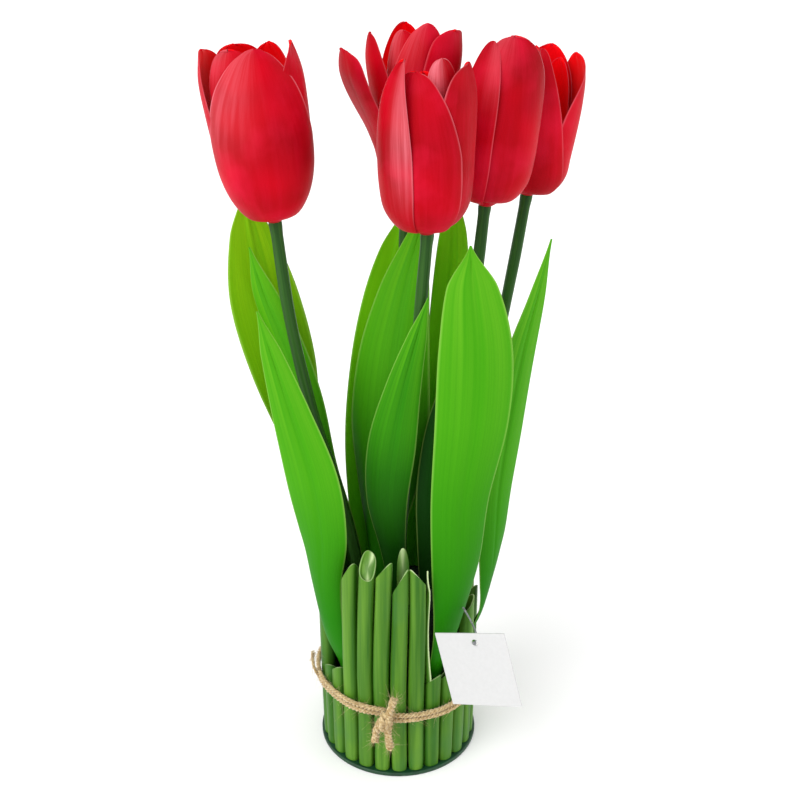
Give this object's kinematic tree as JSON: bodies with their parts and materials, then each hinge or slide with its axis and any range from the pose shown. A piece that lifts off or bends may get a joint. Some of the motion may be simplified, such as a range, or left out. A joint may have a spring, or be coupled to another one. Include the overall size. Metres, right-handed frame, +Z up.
{
  "type": "artificial tulip bunch standing in a ring of cut stalks",
  "caption": "Artificial red tulips on tall stems with long green leaves, set in a foam core inside a ring of cut green stalks on a round base, tied with twine and carrying a blank tag.",
  "frame": {"origin": "centre of the base disc's underside, on the surface that the bunch stands on", "axes": "+Z up along the stems, -Y towards the front with the knot and the tag, +X to the right as seen from the front"},
  "size_m": [0.1774, 0.133, 0.3745],
  "materials": {
    "petal_red": "soft matte moulded petals with a silky sheen, paler at the rims",
    "leaf_green": "satin, lengthwise veins, pale cut rim",
    "stem_green": "satin dark green",
    "stalk_green": "satin, lengthwise streaks, pale cut rims",
    "core_green": "rough dark green foam",
    "disc_green": "smooth dark green",
    "twine_tan": "twisted jute with loose fibres",
    "card_white": "plain white card, blank on both faces",
    "pin_grey": "plain grey"
  },
  "bodies": {
    "root": {"stem_left": "stem_green", "bloom_left": "petal_red", "stem_front": "stem_green", "bloom_front": "petal_red", "stem_back": "stem_green", "bloom_back": "petal_red", "stem_right": "stem_green", "bloom_right": "petal_red", "stem_far_right": "stem_green", "bloom_far_right": "petal_red", "leaf_front_left": "leaf_green", "leaf_front_right": "leaf_green", "leaf_centre_front": "leaf_green", "leaf_centre_left": "leaf_green", "leaf_centre_shade": "leaf_green", "leaf_back_centre": "leaf_green", "leaf_back_left": "leaf_green", "leaf_left_outer": "leaf_green", "leaf_left_inner": "leaf_green", "leaf_right": "leaf_green", "stalk_01": "stalk_green", "stalk_02": "stalk_green", "stalk_03": "stalk_green", "stalk_04": "stalk_green", "stalk_05": "stalk_green", "stalk_06": "stalk_green", "stalk_07": "stalk_green", "stalk_08": "stalk_green", "stalk_09": "stalk_green", "stalk_10": "stalk_green", "stalk_11": "stalk_green", "stalk_12": "stalk_green", "stalk_13": "stalk_green", "stalk_14": "stalk_green", "stalk_15": "stalk_green", "stalk_16": "stalk_green", "stalk_17": "stalk_green", "stalk_18": "stalk_green", "stalk_19": "stalk_green", "stalk_20": "stalk_green", "stalk_21": "stalk_green", "stalk_22": "stalk_green", "stalk_23": "stalk_green", "stalk_24": "stalk_green", "stalk_25": "stalk_green", "stalk_26": "stalk_green", "stalk_27": "stalk_green", "inner_stalk": "stalk_green", "base_disc": "disc_green", "foam_core": "core_green", "twine": "twine_tan", "twine_knot": "twine_tan", "hang_tag": "card_white", "tag_pin": "pin_grey"}
  },
  "joints": []
}
